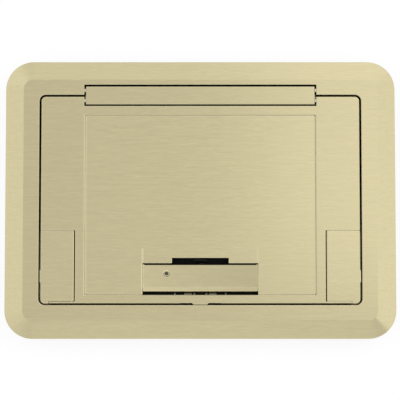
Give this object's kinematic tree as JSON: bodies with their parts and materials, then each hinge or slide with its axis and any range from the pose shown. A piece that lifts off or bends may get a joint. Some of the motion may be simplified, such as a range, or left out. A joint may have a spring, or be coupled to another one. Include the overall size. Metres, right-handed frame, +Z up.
{
  "type": "floor box cover",
  "caption": "Rectangular brass-finish floor box cover: sloped flange, lid on a double hinge with an inlaid panel, corner cable doors and a flush lift handle.",
  "frame": {"origin": "under the centre of the cover, at the lower edge of the collar that goes into the floor box", "axes": "+X along the hinge strip, +Y from the handle side to the hinge side, +Z up out of the floor"},
  "size_m": [0.34, 0.2416, 0.0235],
  "materials": {
    "brass_cast": "brushed",
    "brass_sheet": "brushed",
    "pin_steel": "satin",
    "screw_steel": "satin",
    "bolt_steel": "satin",
    "housing_zinc": "matte",
    "gasket": "matte"
  },
  "bodies": {
    "frame": {"flange": "brass_cast", "floor_gasket": "gasket", "lid_gasket_left": "gasket", "lid_gasket_right": "gasket", "mounting_screws": "screw_steel", "hinge_pin_frame_left": "pin_steel", "hinge_pin_frame_right": "pin_steel"},
    "hinge_link": {"hinge_strip": "brass_cast"},
    "lid": {"lid": "brass_cast", "insert_plate": "brass_sheet", "hinge_pin_lid_left": "pin_steel", "hinge_pin_lid_right": "pin_steel", "cable_door_pin_left": "pin_steel", "cable_door_pin_right": "pin_steel", "latch_housing": "housing_zinc", "housing_screws": "screw_steel", "handle_pin": "pin_steel", "latch_spring": "pin_steel"},
    "cable_door_left": {"cable_door_left": "brass_cast"},
    "cable_door_right": {"cable_door_right": "brass_cast"},
    "handle": {"handle": "brass_cast", "lock_screw": "screw_steel"},
    "latch_bolt": {"latch_bolt": "bolt_steel"}
  },
  "joints": [
    {"name": "link_hinge", "type": "hinge", "parent": "frame", "child": "hinge_link", "pos_m": [0, 0.0955, 0.0205], "axis": [-1, 0, 0], "range_deg": [0, 90]},
    {"name": "lid_hinge", "type": "hinge", "parent": "hinge_link", "child": "lid", "pos_m": [0, 0.0864, 0.0205], "axis": [-1, 0, 0], "range_deg": [0, 90]},
    {"name": "door_left_hinge", "type": "hinge", "parent": "lid", "child": "cable_door_left", "pos_m": [-0.1114, -0.05765, 0.0215], "axis": [0, 1, 0], "range_deg": [0, 100]},
    {"name": "door_right_hinge", "type": "hinge", "parent": "lid", "child": "cable_door_right", "pos_m": [0.1114, -0.05765, 0.0215], "axis": [0, -1, 0], "range_deg": [0, 100]},
    {"name": "handle_lift", "type": "hinge", "parent": "lid", "child": "handle", "pos_m": [0, -0.077, 0.02055], "axis": [1, 0, 0], "range_deg": [0, 60]},
    {"name": "bolt_slide", "type": "slide", "parent": "lid", "child": "latch_bolt", "axis": [0, 1, 0], "range_m": [0, 0.0036], "deforming": ["latch_spring"]}
  ],
  "couplings": [
    {"joint": "handle_lift", "follows": "bolt_slide", "rad_per_m": 290.89}
  ]
}
